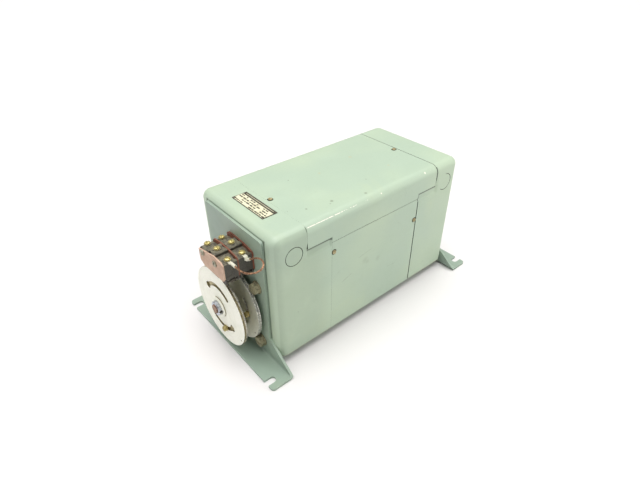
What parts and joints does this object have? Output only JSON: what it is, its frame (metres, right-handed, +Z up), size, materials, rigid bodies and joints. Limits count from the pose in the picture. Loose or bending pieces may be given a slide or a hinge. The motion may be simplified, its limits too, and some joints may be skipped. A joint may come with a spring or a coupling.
{
  "type": "variable autotransformer",
  "caption": "Ganged variable autotransformer in a sheet metal case on two slotted end brackets, with adjustable cam discs and roller limit switches on its shaft.",
  "frame": {"origin": "midway between the four foot slots, on the floor under the feet", "axes": "+Z up; the shaft runs along Y, with the cams and limit switches at the -Y end; +X is to the right when the cams are seen from in front"},
  "size_m": [0.192, 0.3828, 0.1796],
  "materials": {
    "sage_paint": "satin",
    "plate_metal": "satin",
    "brass": "satin",
    "plated_steel": "satin",
    "shaft_steel": "satin",
    "dark_steel": "satin",
    "gang_metal": "satin",
    "core_iron": "matte",
    "winding_copper": "satin",
    "jumper_copper": "satin",
    "board": "matte",
    "carbon": "matte",
    "cam_white": "satin",
    "cam_grey": "satin",
    "switch_black": "satin",
    "fibre_red": "matte",
    "fibre_pink": "matte",
    "tinned": "satin",
    "plunger_red": "satin"
  },
  "bodies": {
    "frame": {"front_bracket": "sage_paint", "rear_bracket": "sage_paint", "front_end_cap": "sage_paint", "rear_end_cap": "sage_paint", "top_cover": "sage_paint", "side_panel_right": "sage_paint", "side_panel_left": "sage_paint", "bottom_pan": "sage_paint", "nameplate": "plate_metal", "nameplate_pins": "brass", "cover_screws": "brass", "terminal_screws": "brass", "front_bearing": "brass", "rear_bearing": "brass", "tie_bolts": "plated_steel", "tie_washers": "plated_steel", "tie_nuts": "plated_steel", "spacer_tubes": "plated_steel", "switch_screws": "plated_steel", "hinge_pins": "plated_steel", "gang_plate_1": "gang_metal", "gang_plate_2": "gang_metal", "gang_plate_3": "gang_metal", "core_1": "core_iron", "core_2": "core_iron", "core_3": "core_iron", "winding_1": "winding_copper", "winding_2": "winding_copper", "winding_3": "winding_copper", "jumper_wire": "jumper_copper", "terminal_board_1": "board", "terminal_board_2": "board", "terminal_board_3": "board", "switch_front": "switch_black", "switch_rear": "switch_black", "insulator_middle": "fibre_red", "insulator_rear": "fibre_red", "insulator_front": "fibre_pink", "jumper_lugs": "tinned"},
    "rotor": {"shaft": "shaft_steel", "stop_collar": "plated_steel", "brush_arm_1": "gang_metal", "brush_arm_2": "gang_metal", "brush_arm_3": "gang_metal", "brushes": "carbon", "cam_hub_front": "cam_white", "cam_hub_rear": "cam_grey", "hub_set_screws": "dark_steel", "cam_fixed_front": "cam_grey", "cam_fixed_rear": "cam_grey", "cam_screws": "brass"},
    "cam_front": {"cam_adjust_front": "cam_white"},
    "cam_rear": {"cam_adjust_rear": "cam_grey"},
    "lever_front": {"lever_front": "plated_steel"},
    "lever_rear": {"lever_rear": "plated_steel"},
    "roller_front": {"roller_front": "plated_steel"},
    "roller_rear": {"roller_rear": "plated_steel"},
    "plunger_front": {"plunger_front": "plunger_red"},
    "plunger_rear": {"plunger_rear": "plunger_red"}
  },
  "joints": [
    {"name": "shaft_turn", "type": "hinge", "parent": "frame", "child": "rotor", "pos_m": [0, 0, 0.063], "axis": [0, -1, 0], "range_deg": [-160, 160]},
    {"name": "front_cam_setting", "type": "hinge", "parent": "rotor", "child": "cam_front", "pos_m": [0, -0.1786, 0.063], "axis": [0, -1, 0], "range_deg": [-30, 50]},
    {"name": "rear_cam_setting", "type": "hinge", "parent": "rotor", "child": "cam_rear", "pos_m": [0, -0.15955, 0.063], "axis": [0, -1, 0], "range_deg": [-30, 50]},
    {"name": "front_lever_press", "type": "hinge", "parent": "frame", "child": "lever_front", "pos_m": [0.037, -0.1786, 0.1259], "axis": [0, 1, 0], "range_deg": [0, 3], "stiffness_Nm_per_rad": 0.1, "springref_deg": -20.05},
    {"name": "front_roller_spin", "type": "hinge", "parent": "lever_front", "child": "roller_front", "pos_m": [0, -0.1786, 0.1188], "axis": [0, 1, 0], "continuous": true},
    {"name": "front_plunger_slide", "type": "slide", "parent": "frame", "child": "plunger_front", "axis": [0, 0, 1], "range_m": [0, 0.0009]},
    {"name": "rear_lever_press", "type": "hinge", "parent": "frame", "child": "lever_rear", "pos_m": [0.037, -0.15955, 0.1259], "axis": [0, 1, 0], "range_deg": [0, 3], "stiffness_Nm_per_rad": 0.1, "springref_deg": -20.05},
    {"name": "rear_roller_spin", "type": "hinge", "parent": "lever_rear", "child": "roller_rear", "pos_m": [0, -0.15955, 0.1188], "axis": [0, 1, 0], "continuous": true},
    {"name": "rear_plunger_slide", "type": "slide", "parent": "frame", "child": "plunger_rear", "axis": [0, 0, 1], "range_m": [0, 0.0009]}
  ],
  "couplings": [
    {"joint": "front_plunger_slide", "follows": "front_lever_press", "m_per_rad": 0.017},
    {"joint": "rear_plunger_slide", "follows": "rear_lever_press", "m_per_rad": 0.017}
  ]
}
